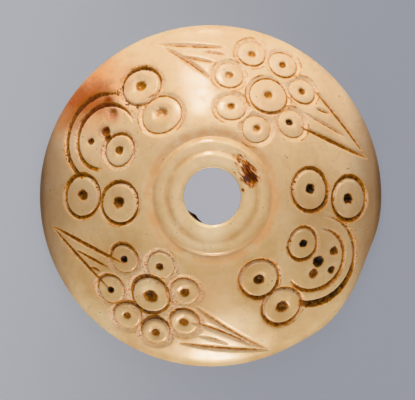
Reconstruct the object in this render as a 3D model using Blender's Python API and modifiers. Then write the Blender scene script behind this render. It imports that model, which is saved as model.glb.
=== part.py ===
"""Spindle whorl: a turned and carved ivory disc with a bore for its spindle."""

import math
from functools import lru_cache

import bmesh
import bpy
from mathutils import Vector

# Sizes are in metres and angles in degrees. Z is up, and the flat underside
# lies on Z = 0. Bearings run anticlockwise from +X, seen from above.

# The turned blank
WHORL_RADIUS = 0.0200
WHORL_HEIGHT = 0.0100
BORE_RADIUS = 0.00333
BORE_EDGE = 0.00030

# The bore and its collar stand a little off the middle of the disc
BORE_SHIFT_X = 0.00020
BORE_SHIFT_Y = -0.00006

# The two-tiered collar round the bore, from the bore outwards
LIP_WIDTH = 0.00125
LIP_SLOPE_WIDTH = 0.00075
LIP_DROP = 0.00050
TIER_WIDTH = 0.00090
TIER_FALL = 0.00008
TIER_EDGE_WIDTH = 0.00037
TIER_DROP = 0.00048
HOLLOW_WIDTH = 0.00090
HOLLOW_RISE = 0.00012

# The dome: a curve that leaves the crest level and dives into the rim
SHOULDER_PULL = 0.00170
RIM_HEIGHT = 0.00110
RIM_PULL_IN = 0.00040
RIM_PULL_UP = 0.00120

# The rim below its widest line, and the edge of the underside
RIM_BAND = 0.00045
FOOT_ROUND = 0.00060

# Departures of the rim from a true circle: bearing, half width, height
RIM_FLAT_BEARING = -21.0
RIM_FLAT_SPREAD = 9.0
RIM_FLAT_DEPTH = 0.00036
RIM_SWELL_BEARING = -47.0
RIM_SWELL_SPREAD = 9.0
RIM_SWELL_HEIGHT = 0.00030
RIM_REACH_POWER = 10

# The V cut by the scribing tools
RING_GROOVE_WIDTH = 0.00060
RING_GROOVE_DEPTH = 0.00036
STROKE_WIDTH = 0.00056
STROKE_DEPTH = 0.00034
THIN_WIDTH = 0.00036
THIN_DEPTH = 0.00022
STROKE_TIP_SHARE = 0.15
ARC_FADE = 0.12
CUT_OVER = 0.00035

# Ring sizes, at the middle of the groove
PAIR_RING_RADIUS = 0.00242
MIDDLE_RING_RADIUS = 0.00238
PETAL_RING_RADIUS = 0.00183
EYE_RING_RADIUS = 0.00205
INNER_ARC_RADIUS = 0.00382
OUTER_ARC_RADIUS = 0.00530

# Drilled dots
WIDE_DOT_RADIUS = 0.00072
WIDE_DOT_DEPTH = 0.00060
SMALL_DOT_RADIUS = 0.00047
SMALL_DOT_DEPTH = 0.00055

# Facets
TURNING_STEPS = 64
DOME_STEPS = 10
RING_STEPS = 20
DOT_SIDES = 8
STROKE_STEPS = 6
ARC_STEPS = 12
PROBE = 0.00005


def clear_scene():
    for item in list(bpy.data.objects):
        bpy.data.objects.remove(item, do_unlink=True)


def new_collection(name):
    group = bpy.data.collections.new(name)
    bpy.context.scene.collection.children.link(group)
    return group


def crest_radius():
    return (BORE_RADIUS + BORE_EDGE + LIP_WIDTH + LIP_SLOPE_WIDTH + TIER_WIDTH
            + TIER_EDGE_WIDTH + HOLLOW_WIDTH)


def crest_height():
    return WHORL_HEIGHT - LIP_DROP - TIER_FALL - TIER_DROP + HOLLOW_RISE


def cubic(start, pull, push, end, share):
    rest = 1.0 - share
    weights = (rest ** 3, 3 * rest ** 2 * share, 3 * rest * share ** 2, share ** 3)
    points = (start, pull, push, end)
    return tuple(sum(w * p[axis] for w, p in zip(weights, points)) for axis in (0, 1))


def collar_outline():
    """Radius and height of the collar, from the bore wall to the hollow."""
    r = BORE_RADIUS
    z = WHORL_HEIGHT
    points = [(r, z - BORE_EDGE), (r + BORE_EDGE, z)]
    r += BORE_EDGE + LIP_WIDTH
    points.append((r, z))
    points.append((r + LIP_SLOPE_WIDTH / 2, z - LIP_DROP / 2))
    r += LIP_SLOPE_WIDTH
    z -= LIP_DROP
    points.append((r, z))
    r += TIER_WIDTH
    z -= TIER_FALL
    points.append((r, z))
    r += TIER_EDGE_WIDTH
    z -= TIER_DROP
    points.append((r, z))
    return points


@lru_cache(maxsize=1)
def dome_outline():
    """Radius and height of the dome, from its crest out to its widest line."""
    start = (crest_radius(), crest_height())
    pull = (start[0] + SHOULDER_PULL, start[1])
    end = (WHORL_RADIUS, RIM_HEIGHT)
    push = (WHORL_RADIUS - RIM_PULL_IN, RIM_HEIGHT + RIM_PULL_UP)
    return [cubic(start, pull, push, end, i / DOME_STEPS) for i in range(DOME_STEPS + 1)]


def foot_outline():
    """Radius and height from the widest line round to the bore's lower edge."""
    round_share = 1.0 - math.sqrt(0.5)
    low = RIM_HEIGHT - RIM_BAND
    return [
        (WHORL_RADIUS, low),
        (WHORL_RADIUS - FOOT_ROUND * round_share, low * round_share),
        (WHORL_RADIUS - FOOT_ROUND, 0.0),
        (BORE_RADIUS + BORE_EDGE, 0.0),
        (BORE_RADIUS, BORE_EDGE),
    ]


def bump(bearing, centre, spread):
    turn = (bearing - centre + 180.0) % 360.0 - 180.0
    return math.exp(-(turn / spread) ** 2)


def rim_wave(bearing):
    """How far the rim stands outside its true circle at this bearing."""
    return (RIM_SWELL_HEIGHT * bump(bearing, RIM_SWELL_BEARING, RIM_SWELL_SPREAD)
            - RIM_FLAT_DEPTH * bump(bearing, RIM_FLAT_BEARING, RIM_FLAT_SPREAD))


def rim_stretch(radius, bearing):
    reach = (radius / WHORL_RADIUS) ** RIM_REACH_POWER
    return 1.0 + rim_wave(bearing) / WHORL_RADIUS * reach


def bore_pull(radius):
    """Share of the bore's shift at this radius: whole at the collar, none at the rim."""
    share = (radius - crest_radius()) / (WHORL_RADIUS - crest_radius())
    share = min(max(share, 0.0), 1.0)
    return 1.0 - share * share * (3.0 - 2.0 * share)


def hand_worked(x, y):
    """Move a point of the true turned form to where the real form has it."""
    radius = math.hypot(x, y)
    stretch = rim_stretch(radius, math.degrees(math.atan2(y, x)))
    pull = bore_pull(radius)
    return x * stretch + BORE_SHIFT_X * pull, y * stretch + BORE_SHIFT_Y * pull


def turned_radius(x, y):
    """The radius on the true turned form of a point of the real form."""
    radius = math.hypot(x, y)
    for _ in range(3):
        pull = bore_pull(radius)
        dx = x - BORE_SHIFT_X * pull
        dy = y - BORE_SHIFT_Y * pull
        bearing = math.degrees(math.atan2(dy, dx))
        radius = math.hypot(dx, dy) / rim_stretch(radius, bearing)
    return radius


def dome_height(x, y):
    radius = turned_radius(x, y)
    points = dome_outline()
    for (r0, z0), (r1, z1) in zip(points, points[1:]):
        if radius <= r1:
            return z0 + (z1 - z0) * (radius - r0) / (r1 - r0)
    return points[-1][1]


def on_dome(x, y):
    """The point of the dome above (x, y), and the dome's normal there."""
    fall_x = (dome_height(x + PROBE, y) - dome_height(x - PROBE, y)) / (2 * PROBE)
    fall_y = (dome_height(x, y + PROBE) - dome_height(x, y - PROBE)) / (2 * PROBE)
    return Vector((x, y, dome_height(x, y))), Vector((-fall_x, -fall_y, 1.0)).normalized()


# Carved places. A place is a bearing and a distance as a share of the whorl's
# radius. Petals are placed the same way, seen from the middle of their flower.
FLOWERS = (
    {"name": "upper",
     "middle": (60.0, 0.678),
     "petals": ((111.3, 0.268), (152.6, 0.260), (197.6, 0.229), (250.1, 0.210),
                (309.2, 0.214), (7.3, 0.202), (64.9, 0.202))},
    {"name": "lower",
     "middle": (239.0, 0.684),
     "petals": ((125.8, 0.263), (71.6, 0.184), (6.6, 0.203), (321.6, 0.253),
                (277.9, 0.214), (221.6, 0.181), (171.4, 0.234))},
)

# A spray is a set of strokes: from, to, how far the stroke bows to its left
# as a share of the whorl's radius, and whether it is a bold one.
SPRAYS = (
    {"name": "upper_right",
     "strokes": (((13.2, 0.946), (47.6, 0.871), -0.010, True),
                 ((13.2, 0.946), (38.8, 0.656), -0.001, True),
                 ((23.7, 0.859), (41.6, 0.730), -0.002, False),
                 ((34.4, 0.847), (39.6, 0.801), 0.0, False))},
    {"name": "upper_left",
     "strokes": (((109.5, 0.940), (84.8, 0.871), 0.002, True),
                 ((107.5, 0.907), (89.8, 0.683), 0.010, True),
                 ((102.4, 0.833), (88.1, 0.777), 0.003, False),
                 ((93.0, 0.844), (83.7, 0.826), 0.005, False))},
    {"name": "lower_left",
     "strokes": (((190.3, 0.952), (215.1, 0.662), -0.001, True),
                 ((190.3, 0.952), (222.5, 0.814), -0.006, True),
                 ((201.7, 0.853), (215.6, 0.727), 0.0, False),
                 ((210.5, 0.826), (214.8, 0.786), 0.008, False))},
    {"name": "lower_right",
     "strokes": (((290.7, 0.965), (262.2, 0.650), 0.020, True),
                 ((285.5, 0.911), (260.7, 0.748), -0.011, True),
                 ((276.7, 0.875), (265.1, 0.822), -0.004, False),
                 ((290.7, 0.965), (258.3, 0.880), 0.014, True))},
)

# A crescent is two arcs struck from one pivot, with an eye ring, four paired
# rings and loose dots. Each arc runs anticlockwise between two turns, counted
# from the way that points outwards at the pivot.
CRESCENTS = (
    {"name": "right",
     "pivot": (328.5, 0.720),
     "inner_arc": (-112.0, 114.0),
     "outer_arc": (-77.0, 112.0),
     "eye": (332.4, 0.611),
     "pairs": ((3.2, 0.584), (358.7, 0.815), (300.1, 0.565), (302.8, 0.773)),
     "dots": ((335.7, 0.795), (328.6, 0.742), (328.4, 0.830), (322.7, 0.758))},
    {"name": "left",
     "pivot": (150.7, 0.702),
     "inner_arc": (-125.0, 115.0),
     "outer_arc": (-80.0, 88.0),
     "eye": (153.7, 0.598),
     "pairs": ((122.6, 0.757), (121.2, 0.555), (180.4, 0.753), (184.9, 0.536)),
     "dots": ((139.7, 0.751), (155.5, 0.770), (148.6, 0.720), (150.7, 0.691))},
)


def plan_point(place, start=(0.0, 0.0)):
    """The plan position of a place, in metres, seen from a start point."""
    bearing, share = place
    turn = math.radians(bearing)
    reach = share * WHORL_RADIUS
    return start[0] + reach * math.cos(turn), start[1] + reach * math.sin(turn)


def ivory_material():
    ivory = bpy.data.materials.new("polished_ivory")
    ivory.use_nodes = True
    shader = ivory.node_tree.nodes["Principled BSDF"]
    shader.inputs["Base Color"].default_value = (0.68, 0.50, 0.31, 1.0)
    shader.inputs["Roughness"].default_value = 0.32
    shader.inputs["Metallic"].default_value = 0.0
    return ivory


def add_object(name, mesh, group):
    item = bpy.data.objects.new(name, mesh)
    group.objects.link(item)
    return item


def profile_mesh(name, points):
    """A closed outline in the XZ plane, ready for a Screw modifier."""
    mesh = bpy.data.meshes.new(name)
    edges = [(i, (i + 1) % len(points)) for i in range(len(points))]
    mesh.from_pydata([(r, 0.0, z) for r, z in points], edges, [])
    return mesh


def turn_profile(item, steps):
    screw = item.modifiers.new("turning", "SCREW")
    screw.axis = "Z"
    screw.angle = math.tau
    screw.steps = steps
    screw.render_steps = steps
    screw.use_merge_vertices = True
    screw.merge_threshold = 0.000001
    screw.use_smooth_shade = True


def make_blank(group):
    """The turned disc with its bore and collar, worked out of true by hand."""
    outline = collar_outline() + dome_outline() + foot_outline()
    turned = add_object("turned_blank", profile_mesh("turned_blank", outline), group)
    turn_profile(turned, TURNING_STEPS)
    bpy.context.view_layer.update()
    seen = turned.evaluated_get(bpy.context.evaluated_depsgraph_get())
    mesh = bpy.data.meshes.new_from_object(seen)
    bpy.data.objects.remove(turned, do_unlink=True)
    shape = bmesh.new()
    shape.from_mesh(mesh)
    for point in shape.verts:
        point.co.x, point.co.y = hand_worked(point.co.x, point.co.y)
    bmesh.ops.triangulate(shape, faces=shape.faces)
    shape.to_mesh(mesh)
    shape.free()
    mesh.name = "whorl"
    return add_object("whorl", mesh, group)


def mark_cutter(item):
    item.hide_render = True
    item.display_type = "WIRE"


def stand_on_dome(item, x, y):
    point, normal = on_dome(x, y)
    item.location = point
    item.rotation_mode = "QUATERNION"
    item.rotation_quaternion = Vector((0.0, 0.0, 1.0)).rotation_difference(normal)


def ring_cutter(name, spot, radius, group):
    """A V section turned round the ring's middle, standing on the dome."""
    over = RING_GROOVE_WIDTH / 2 * (1.0 + CUT_OVER / RING_GROOVE_DEPTH)
    section = [(radius - over, CUT_OVER), (radius + over, CUT_OVER), (radius, -RING_GROOVE_DEPTH)]
    cutter = add_object(name, profile_mesh(name, section), group)
    turn_profile(cutter, RING_STEPS)
    stand_on_dome(cutter, *spot)
    mark_cutter(cutter)


def dot_cutter(name, spot, radius, depth, group):
    """A cone with its point down, standing on the dome."""
    height = depth + CUT_OVER
    shape = bmesh.new()
    bmesh.ops.create_cone(shape, cap_ends=True, segments=DOT_SIDES, radius1=0.0,
                          radius2=radius * height / depth, depth=height)
    bmesh.ops.translate(shape, verts=shape.verts, vec=(0.0, 0.0, height / 2 - depth))
    mesh = bpy.data.meshes.new(name)
    shape.to_mesh(mesh)
    shape.free()
    cutter = add_object(name, mesh, group)
    stand_on_dome(cutter, *spot)
    mark_cutter(cutter)


def groove_cutter(name, route, swell, width, depth, group):
    """A V groove along a route over the dome. swell gives each point's share of the depth."""
    slope = width / 2 / depth
    shape = bmesh.new()
    sections = []
    for i, (x, y) in enumerate(route):
        before = route[max(i - 1, 0)]
        after = route[min(i + 1, len(route) - 1)]
        point, normal = on_dome(x, y)
        along = Vector((after[0] - before[0], after[1] - before[1], 0.0))
        side = normal.cross(along).normalized()
        deep = depth * swell[i]
        reach = slope * (deep + CUT_OVER)
        corners = (point - normal * deep,
                   point + normal * CUT_OVER - side * reach,
                   point + normal * CUT_OVER + side * reach)
        sections.append([shape.verts.new(corner) for corner in corners])
    for near, far in zip(sections, sections[1:]):
        for i in range(3):
            j = (i + 1) % 3
            shape.faces.new((near[i], near[j], far[j], far[i]))
    shape.faces.new(sections[0])
    shape.faces.new(sections[-1])
    bmesh.ops.recalc_face_normals(shape, faces=shape.faces)
    mesh = bpy.data.meshes.new(name)
    shape.to_mesh(mesh)
    shape.free()
    mark_cutter(add_object(name, mesh, group))


def carve_ring_and_dot(name, spot, radius, dot_radius, dot_depth, group):
    ring_cutter(name + "_ring", spot, radius, group)
    dot_cutter(name + "_dot", spot, dot_radius, dot_depth, group)


def carve_flower(flower, group):
    name = flower["name"] + "_flower"
    middle = plan_point(flower["middle"])
    carve_ring_and_dot(name + "_middle", middle, MIDDLE_RING_RADIUS,
                       WIDE_DOT_RADIUS, WIDE_DOT_DEPTH, group)
    for i, petal in enumerate(flower["petals"]):
        carve_ring_and_dot(f"{name}_petal_{i}", plan_point(petal, middle), PETAL_RING_RADIUS,
                           SMALL_DOT_RADIUS, SMALL_DOT_DEPTH, group)


def carve_stroke(name, start, end, bow, bold, group):
    x0, y0 = plan_point(start)
    x1, y1 = plan_point(end)
    width, depth = (STROKE_WIDTH, STROKE_DEPTH) if bold else (THIN_WIDTH, THIN_DEPTH)
    route = []
    swell = []
    for i in range(STROKE_STEPS + 1):
        share = i / STROKE_STEPS
        arch = 4.0 * share * (1.0 - share)
        lift = bow * WHORL_RADIUS * arch / math.hypot(x1 - x0, y1 - y0)
        route.append((x0 + (x1 - x0) * share - (y1 - y0) * lift,
                      y0 + (y1 - y0) * share + (x1 - x0) * lift))
        swell.append(STROKE_TIP_SHARE + (1.0 - STROKE_TIP_SHARE) * math.sqrt(arch))
    groove_cutter(name, route, swell, width, depth, group)


def carve_spray(spray, group):
    for i, (start, end, bow, bold) in enumerate(spray["strokes"]):
        carve_stroke(f"{spray['name']}_spray_{i}", start, end, bow, bold, group)


def carve_arc(name, pivot, radius, sweep, group):
    """A groove struck from a pivot on the dome with its radius held on the slope."""
    middle, normal = on_dome(*pivot)
    outward = Vector((middle.x, middle.y, 0.0))
    outward = (outward - normal * outward.dot(normal)).normalized()
    across = normal.cross(outward)
    route = []
    swell = []
    for i in range(ARC_STEPS + 1):
        share = i / ARC_STEPS
        turn = math.radians(sweep[0] + (sweep[1] - sweep[0]) * share)
        point = middle + (outward * math.cos(turn) + across * math.sin(turn)) * radius
        route.append((point.x, point.y))
        fade = min(1.0, share / ARC_FADE, (1.0 - share) / ARC_FADE)
        swell.append(STROKE_TIP_SHARE + (1.0 - STROKE_TIP_SHARE) * fade)
    groove_cutter(name, route, swell, RING_GROOVE_WIDTH, RING_GROOVE_DEPTH, group)


def carve_crescent(crescent, group):
    name = crescent["name"] + "_crescent"
    pivot = plan_point(crescent["pivot"])
    carve_arc(name + "_inner_arc", pivot, INNER_ARC_RADIUS, crescent["inner_arc"], group)
    carve_arc(name + "_outer_arc", pivot, OUTER_ARC_RADIUS, crescent["outer_arc"], group)
    carve_ring_and_dot(name + "_eye", plan_point(crescent["eye"]), EYE_RING_RADIUS,
                       SMALL_DOT_RADIUS, SMALL_DOT_DEPTH, group)
    for i, pair in enumerate(crescent["pairs"]):
        carve_ring_and_dot(f"{name}_pair_{i}", plan_point(pair), PAIR_RING_RADIUS,
                           WIDE_DOT_RADIUS, WIDE_DOT_DEPTH, group)
    for i, dot in enumerate(crescent["dots"]):
        dot_cutter(f"{name}_dot_{i}", plan_point(dot), SMALL_DOT_RADIUS, SMALL_DOT_DEPTH, group)


def cut_carving(whorl, cutters):
    cut = whorl.modifiers.new("carving", "BOOLEAN")
    cut.operation = "DIFFERENCE"
    cut.solver = "EXACT"
    cut.operand_type = "COLLECTION"
    cut.collection = cutters


def build():
    clear_scene()
    parts = new_collection("spindle_whorl")
    cutters = new_collection("cutters")
    whorl = make_blank(parts)
    whorl.data.materials.append(ivory_material())
    for flower in FLOWERS:
        carve_flower(flower, cutters)
    for spray in SPRAYS:
        carve_spray(spray, cutters)
    for crescent in CRESCENTS:
        carve_crescent(crescent, cutters)
    cut_carving(whorl, cutters)


build()
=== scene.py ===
import math

import bpy
import numpy as np
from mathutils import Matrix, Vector, noise


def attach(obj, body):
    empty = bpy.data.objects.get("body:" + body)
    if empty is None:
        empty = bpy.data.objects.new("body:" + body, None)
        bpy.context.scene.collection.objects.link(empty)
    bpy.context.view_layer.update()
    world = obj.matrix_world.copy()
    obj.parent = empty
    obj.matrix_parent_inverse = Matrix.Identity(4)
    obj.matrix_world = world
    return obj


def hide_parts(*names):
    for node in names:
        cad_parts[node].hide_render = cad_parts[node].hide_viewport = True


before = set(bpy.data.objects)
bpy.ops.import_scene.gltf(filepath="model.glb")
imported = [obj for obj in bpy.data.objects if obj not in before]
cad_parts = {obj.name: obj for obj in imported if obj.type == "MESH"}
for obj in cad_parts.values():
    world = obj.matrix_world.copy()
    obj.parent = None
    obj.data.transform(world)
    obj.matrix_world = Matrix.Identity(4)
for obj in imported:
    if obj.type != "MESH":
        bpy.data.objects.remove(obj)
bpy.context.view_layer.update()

# Sizes are in metres, written in millimetres times MM. Angles are in degrees.
# Bearings run anticlockwise from +X, seen from above.
MM = 0.001
TINY = 1e-9

# The turned form, as the solid has it
WHORL_RADIUS = 20.0 * MM
WHORL_HEIGHT = 10.0 * MM
BORE_RADIUS = 3.33 * MM
BORE_EDGE = 0.30 * MM
BORE_SHIFT_X = 0.20 * MM
BORE_SHIFT_Y = -0.06 * MM
SHOULDER_PULL = 1.70 * MM
RIM_HEIGHT = 1.10 * MM
RIM_PULL_IN = 0.40 * MM
RIM_PULL_UP = 1.20 * MM
RIM_BAND = 0.45 * MM
FOOT_ROUND = 0.60 * MM
RIM_FLAT = {"bearing": -21.0, "spread": 9.0, "height": -0.36 * MM}
RIM_SWELL = {"bearing": -47.0, "spread": 9.0, "height": 0.30 * MM}
RIM_REACH_POWER = 10

# The collar's corners, outwards from the bore: how far each lies from the bore's wall
# and below the top, and how far hand polish and use have rounded it, in mm
COLLAR = (
    (0.30, 0.120, 0.22),
    (0.62, 0.045, 0.0),
    (1.00, 0.000, 0.0),
    (1.25, 0.012, 0.0),
    (1.45, 0.040, 0.0),
    (1.53, 0.075, 0.0),
    (1.62, 0.126, 0.0),
    (1.72, 0.187, 0.0),
    (1.82, 0.255, 0.0),
    (1.95, 0.335, 0.0),
    (2.50, 0.365, 0.0),
    (2.96, 0.445, 0.0),
    (3.06, 0.495, 0.0),
    (3.18, 0.565, 0.0),
    (3.30, 0.640, 0.0),
    (3.42, 0.735, 0.0),
    (3.62, 1.000, 0.12),
)
CREST_WIDTH = 4.47 * MM
CREST_DROP = 0.94 * MM
SHARP_WEAR = 0.10 * MM
SOFT_WEAR = 0.40 * MM

# Facets. The rounding of the dome's crest aims at the sample of its curve that
# CREST_SAMPLE counts, and takes at most CORNER_SHARE of the edges beside it.
TURN_STEPS = 144
CURVE_SAMPLES = 400
CREST_SAMPLE = 40
CORNER_STEPS = 4
CORNER_SHARE = 0.45
DOME_SPACING = 0.70 * MM
PLAIN_SPACING = 1.60 * MM
STROKE_STEPS = 24
REFINE_REACHES = (0.90 * MM, 0.40 * MM, 0.05 * MM)
REFINE_MARGIN = 0.5 * MM
WELD_GAP = 0.001 * MM

# The scribing tools. A ring's inner wall is steep and its outer wall slopes.
# rough says how torn and unpolished the cut is, worn how much shallower its near arc
# is, side how much of its dark band of dirt and painted shade lies at its sides, crumbs
# how thick crumbs of black dirt lie in it, and pillow how far the middle that it rings is rounded
# off.
CLEAN_CUT = {"inner": 0.20 * MM, "outer": 0.42 * MM, "depth": 0.40 * MM,
             "rough": 0.8, "worn": 0.0, "side": 0.40, "crumbs": 0.45, "pillow": 0.0}
TORN_CUT = {"inner": 0.18 * MM, "outer": 0.58 * MM, "depth": 0.38 * MM,
            "rough": 1.0, "worn": 0.0, "side": 0.25, "crumbs": 0.70, "pillow": 0.0}
ROUGH_CUT = {"inner": 0.14 * MM, "outer": 0.58 * MM, "depth": 0.31 * MM,
             "rough": 1.0, "worn": 0.4, "side": 0.25, "crumbs": 0.12, "pillow": 0.0}
BROAD_CUT = {"inner": 0.16 * MM, "outer": 0.88 * MM, "depth": 0.40 * MM,
             "rough": 1.0, "worn": 0.3, "side": 0.25, "crumbs": 0.25, "pillow": 0.0}
LIGHT_CUT = {"inner": 0.12 * MM, "outer": 0.56 * MM, "depth": 0.27 * MM,
             "rough": 0.5, "worn": 0.1, "side": 0.25, "crumbs": 0.0, "pillow": 0.14 * MM}
BOLD_STROKE = {"width": 0.70 * MM, "depth": 0.28 * MM, "rough": 0.5}
THIN_STROKE = {"width": 0.52 * MM, "depth": 0.21 * MM, "rough": 0.5}

# A cut's section, as shares of its wall's width or of the dome's fall below it, and
# how uneven the tool left its depth
FLOOR_WEAR = 0.16
LIP_WEAR = 0.11
FLAT_SHARE = 0.5
CHATTER_SIZE = 0.22 * MM
CHATTER_SHARE = 0.45

# How the ends of arcs and strokes run out, and how a ring wavers, each in its own way
ARC_FADE = 0.10
TIP_SHARE = 0.12
TIP_WIDTH = 0.35
STROKE_REACH = 0.75
RING_WOBBLE = 0.035 * MM
THIRD_LOBE = 0.7
PHASE_MIX = (977.0, 563.0)

# The slight waves that hand polish left on the dome
HAND_WAVE = 0.030 * MM
HAND_WAVE_SIZE = 3.0 * MM

# How wide the dark band in a cut lies, dirt with painted shade: at its least, and more as
# it darkens. The band starts on the inner wall and slides outwards on a ring's far side,
# onto the outer wall that faces away from the light: painted shade.
DARK_LEAST = 0.09 * MM
DARK_REACH = 0.50 * MM
DARK_EDGE = 0.09 * MM
DARK_THIN = 0.50
DARK_FRAY = 0.12
FRAY_SIZE = 0.60 * MM
BAND_START = -0.10
BAND_SLIDE = 0.45
STROKE_SPREAD = 0.8

# How dark it is at its least, and how much darker with its dirt and painted shade
TONE_LEAST = 0.28
TONE_RISE = 0.36

# How it passes from a ring's far arc to its near arc, how faint it is at a ring's sides,
# where the groove runs along the light, since the darker far and near arcs are painted shade,
# and how it clears towards an arc's end
LEVEL_BLEND = 0.6
SIDE_FALL = 1.3
ARC_SIDE_HELD = 0.45
CLEAN_END = 0.24
CLEAN_GAIN = 2.0

# The thin broken line of dirt along a ring's outer lip, fainter where the cut is rough
LIP_TONE = 0.24
LIP_CLEAN = 1.3
LIP_ROUGH = 0.5
LIP_DRIFT = 2.0 * MM
LIP_GAIN = 3.0
LIP_START = 0.4

# Crumbs of black dirt in a torn cut, and the patches that they come in
CRUMB_SIZE = 0.22 * MM
CRUMB_GAIN = 5.0
CRUMB_START = -1.2
CRUMB_DRIFT = 3.5 * MM
DRIFT_GAIN = 4.0
DRIFT_START = 0.4
CRUMB_WALL = 2.0

# How soon a cut's wall is torn inwards of its lip, and how much of a ring's far and
# near arcs was smoothed again
RING_TORN = 4.0
STROKE_TORN = 2.5
FAR_SMOOTH = 0.60
NEAR_SMOOTH = 0.80

# Ring and dot sizes
PAIR_RING = 2.34 * MM
MIDDLE_RING = 2.20 * MM
PETAL_RING = 1.67 * MM
SMALL_PETAL_RING = 1.56 * MM
EYE_RING = 1.84 * MM
INNER_ARC = 3.74 * MM
OUTER_ARC = 5.22 * MM
DOT_SPREAD = 1.10
DOT_DEPTH_SHARE = 0.45
DISH_REACH = 2.1
DISH_DEPTH_SHARE = 0.28

# A dot's ragged edge, as shares of its radius and their sizes, the curve of its hole,
# how its darkness falls with its dirt, how much darker its far wall and paler its near
# wall are (painted shade and painted light), and its torn wall
DOT_RAGGED = ((0.18, 0.60 * MM), (0.12, 0.25 * MM))
HOLE_CURVE = 1.7
DOT_TONE_CURVE = 1.35
DOT_PAINTED_SHADE_SLANT = 0.8
DOT_DARK_END = 1.10
DOT_DARK_EDGE = 0.40
DOT_TORN_EDGE = 0.3
DOT_TORN = 0.8

# A dark lump low on the bore's wall, between two bearings: how thick it is, how high
# it reaches, how it swells from its ends, how lumpy it is and how dark
BORE_LUMP = {"start": 210.0, "end": 249.0, "thickness": 0.32 * MM, "top": 2.0 * MM,
        "swell": 0.6, "uneven": 0.4, "lumps": 1.0 * MM, "gain": 3.0, "dark": 1.6}
WALL_SLACK = 0.05 * MM
TOP_SLACK = 0.01 * MM

# A place is a bearing and a distance as a share of the whorl's radius. A petal
# is placed the same way from the middle of its flower. A ring is its place, its
# radius, its tool, its dirt and shade and its dot. Its dirt and shade is how dark its
# far and near arcs are, dirt with painted shade where the groove runs across the light,
# and how much more of it lies to the right than to the left. A dot is its
# radius, its darkness and how far it sits off the middle, right and up, in mm.
FLOWERS = (
    {"middle": ((60.0, 0.678), MIDDLE_RING, LIGHT_CUT, (0.30, 0.68, 0.0), (0.52, 0.35, 0.0, 0.06)),
     "petals": (
         ((111.3, 0.268), PETAL_RING, LIGHT_CUT, (0.05, 0.42, 0.0), (0.50, 0.31, 0.02, -0.12)),
         ((152.6, 0.260), PETAL_RING, LIGHT_CUT, (0.05, 0.25, 0.0), (0.50, 0.30, 0.0, 0.0)),
         ((197.6, 0.229), PETAL_RING, LIGHT_CUT, (0.03, 0.18, 0.0), (0.48, 0.34, 0.0, 0.10)),
         ((250.1, 0.210), PETAL_RING, LIGHT_CUT, (0.12, 0.15, 0.0), (0.44, 0.36, 0.05, 0.06)),
         ((309.2, 0.214), PETAL_RING, LIGHT_CUT, (0.04, 0.18, 0.0), (0.42, 0.66, -0.26, 0.15)),
         ((7.3, 0.202), SMALL_PETAL_RING, LIGHT_CUT, (0.03, 0.32, 0.0), (0.44, 0.42, -0.05, -0.03)),
         ((64.9, 0.202), PETAL_RING, LIGHT_CUT, (0.15, 0.38, 0.0), (0.44, 0.42, -0.05, -0.03)))},
    {"middle": ((239.0, 0.684), MIDDLE_RING, BROAD_CUT, (0.98, 0.92, -0.18),
                (0.80, 0.60, 0.0, -0.10)),
     "petals": (
         ((125.8, 0.263), PETAL_RING, ROUGH_CUT, (0.85, 0.15, 0.0), (0.42, 0.95, 0.0, 0.0)),
         ((71.6, 0.184), PETAL_RING, ROUGH_CUT, (0.08, 0.06, 0.0), (0.46, 0.63, -0.06, -0.12)),
         ((6.6, 0.203), PETAL_RING, ROUGH_CUT, (0.28, 0.05, 0.0), (0.56, 0.55, -0.02, -0.12)),
         ((321.6, 0.253), PETAL_RING, ROUGH_CUT, (0.74, 0.10, -0.20), (0.54, 0.48, -0.04, -0.02)),
         ((277.9, 0.214), PETAL_RING, ROUGH_CUT, (1.05, 0.10, 0.0), (0.50, 0.54, 0.01, -0.10)),
         ((221.6, 0.181), PETAL_RING, ROUGH_CUT, (0.85, 0.10, 0.35), (0.46, 0.53, -0.04, 0.05)),
         ((171.4, 0.234), PETAL_RING, ROUGH_CUT, (0.58, 0.22, -0.25), (0.40, 0.98, 0.0, 0.0)))},
)

# A stroke is where it starts and ends, how far it bows to its left as a share
# of the whorl's radius, the tool that cut it and how dark it is.
STROKES = (
    ((13.2, 0.946), (47.6, 0.871), -0.010, BOLD_STROKE, 0.45),
    ((13.2, 0.946), (38.8, 0.656), -0.001, BOLD_STROKE, 0.62),
    ((23.7, 0.859), (41.6, 0.730), -0.002, THIN_STROKE, 0.25),
    ((34.4, 0.847), (39.6, 0.801), 0.0, THIN_STROKE, 0.35),
    ((109.5, 0.940), (84.8, 0.871), 0.002, BOLD_STROKE, 0.30),
    ((107.5, 0.907), (89.8, 0.683), 0.010, BOLD_STROKE, 0.32),
    ((102.4, 0.833), (88.1, 0.777), 0.003, THIN_STROKE, 0.30),
    ((93.0, 0.844), (83.7, 0.826), 0.005, THIN_STROKE, 0.22),
    ((190.3, 0.952), (218.8, 0.641), -0.004, BOLD_STROKE, 0.66),
    ((190.3, 0.952), (224.2, 0.806), -0.006, BOLD_STROKE, 0.56),
    ((201.7, 0.853), (215.6, 0.727), 0.0, THIN_STROKE, 0.55),
    ((210.5, 0.826), (214.8, 0.786), 0.008, THIN_STROKE, 0.45),
    ((290.7, 0.965), (262.2, 0.650), 0.020, BOLD_STROKE, 0.35),
    ((285.5, 0.911), (260.7, 0.748), -0.011, BOLD_STROKE, 0.40),
    ((276.7, 0.875), (265.1, 0.822), -0.004, THIN_STROKE, 0.20),
    ((290.7, 0.965), (258.3, 0.880), 0.014, BOLD_STROKE, 0.45),
)

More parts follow.
